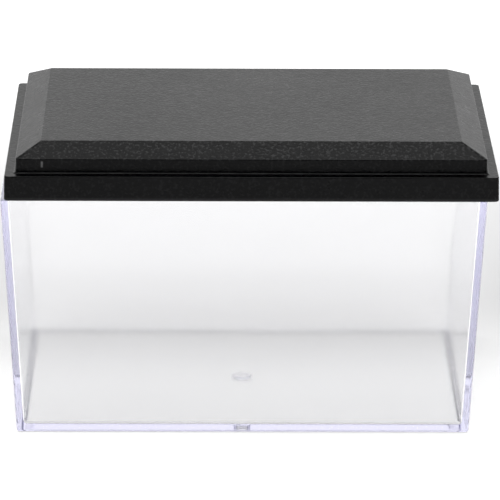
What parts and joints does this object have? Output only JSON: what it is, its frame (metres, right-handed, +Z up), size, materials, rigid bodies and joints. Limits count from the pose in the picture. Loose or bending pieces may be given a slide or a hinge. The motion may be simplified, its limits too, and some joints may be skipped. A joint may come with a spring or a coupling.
{
  "type": "lidded chip box",
  "caption": "Clear open-topped rectangular tub with leaning walls, closed by a loose black lid with a rim, a ledge and a bevelled flat top.",
  "frame": {"origin": "middle of the tub's flat underside", "axes": "+X along the box, +Y from the front long wall to the back one, +Z up"},
  "size_m": [0.1371, 0.094, 0.0837],
  "materials": {
    "clear_plastic": "clear, polished polystyrene with a faint lavender tint at the edges",
    "black_plastic": "fine-grained satin black, through-coloured"
  },
  "bodies": {
    "tub": {"tub": "clear_plastic"},
    "lid": {"lid": "black_plastic"}
  },
  "joints": [
    {"name": "lid_lift", "type": "slide", "parent": "tub", "child": "lid", "axis": [0, 0, 1], "range_m": [0, 0.1]}
  ]
}
